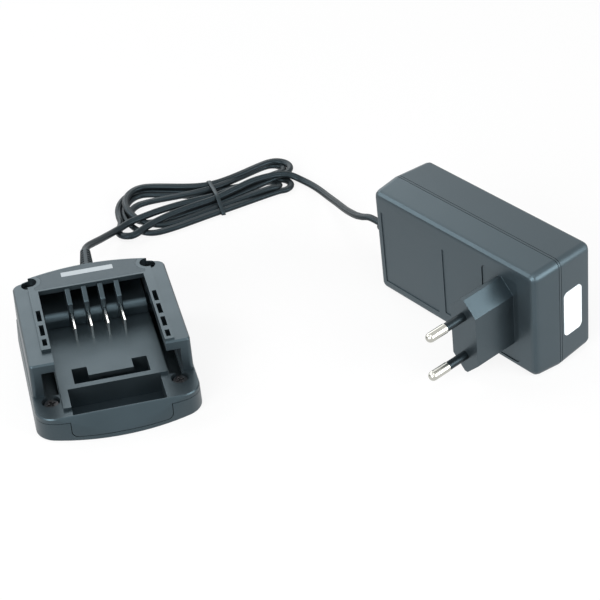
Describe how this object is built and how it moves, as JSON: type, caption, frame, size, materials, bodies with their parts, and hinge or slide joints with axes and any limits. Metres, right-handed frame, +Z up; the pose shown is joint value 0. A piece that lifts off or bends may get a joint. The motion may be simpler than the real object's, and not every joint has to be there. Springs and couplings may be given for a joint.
{
  "type": "power tool battery charger",
  "caption": "Slide-in battery charging cradle joined by a tied hank of flat twin cord to a box-shaped mains adapter with a flat mains plug.",
  "frame": {"origin": "centre of the cradle's underside, on the floor", "axes": "+X across the cradle towards the adapter, +Y towards the cradle's cord end, +Z up"},
  "size_m": [0.22, 0.1975, 0.051],
  "materials": {
    "cradle_lower_plastic": "fine satin texture",
    "cradle_upper_plastic": "fine satin texture",
    "terminal_plastic": "satin",
    "contact_metal": "bright nickel",
    "circuit_board": "solder mask",
    "capacitor_sleeve": "gloss",
    "chip_plastic": "matte",
    "screw_steel": "dark zinc",
    "cradle_label_film": "satin film",
    "boot_rubber": "matte",
    "adapter_front_plastic": "fine satin texture",
    "adapter_back_plastic": "fine satin texture",
    "white_label": "satin paper film",
    "ferrite": "matte ferrite",
    "winding_tape": "tape",
    "heat_sink_metal": "plain",
    "plug_plastic": "satin",
    "pin_metal": "bright nickel",
    "sleeve_plastic": "satin",
    "inner_contact_metal": "plain",
    "cord_jacket": "satin",
    "tie_plastic": "satin"
  },
  "bodies": {
    "root": {"cradle_bottom_shell": "cradle_lower_plastic", "cradle_top_shell": "cradle_upper_plastic", "terminal_block": "terminal_plastic", "contact_blade_1": "contact_metal", "contact_blade_2": "contact_metal", "contact_blade_3": "contact_metal", "contact_blade_4": "contact_metal", "cradle_circuit_board": "circuit_board", "cradle_capacitor": "capacitor_sleeve", "cradle_chip": "chip_plastic", "cradle_screw_front_left": "screw_steel", "cradle_screw_front_right": "screw_steel", "cradle_screw_rear_left": "screw_steel", "cradle_screw_rear_right": "screw_steel", "cradle_label": "cradle_label_film", "cradle_boot": "boot_rubber", "adapter_front_shell": "adapter_front_plastic", "adapter_back_shell": "adapter_back_plastic", "adapter_end_label": "white_label", "adapter_boot": "boot_rubber", "adapter_circuit_board": "circuit_board", "transformer_core": "ferrite", "transformer_bobbin": "winding_tape", "mains_capacitor": "capacitor_sleeve", "output_capacitor": "capacitor_sleeve", "heat_sink": "heat_sink_metal", "plug_insert": "plug_plastic", "plug_pin_upper": "pin_metal", "plug_pin_lower": "pin_metal", "pin_sleeve_upper": "sleeve_plastic", "pin_sleeve_lower": "sleeve_plastic", "pin_contact_upper": "inner_contact_metal", "pin_contact_lower": "inner_contact_metal", "cord_lead_cradle": "cord_jacket", "cord_hank": "cord_jacket", "cord_tie": "tie_plastic", "cord_lead_adapter": "cord_jacket"}
  },
  "joints": []
}
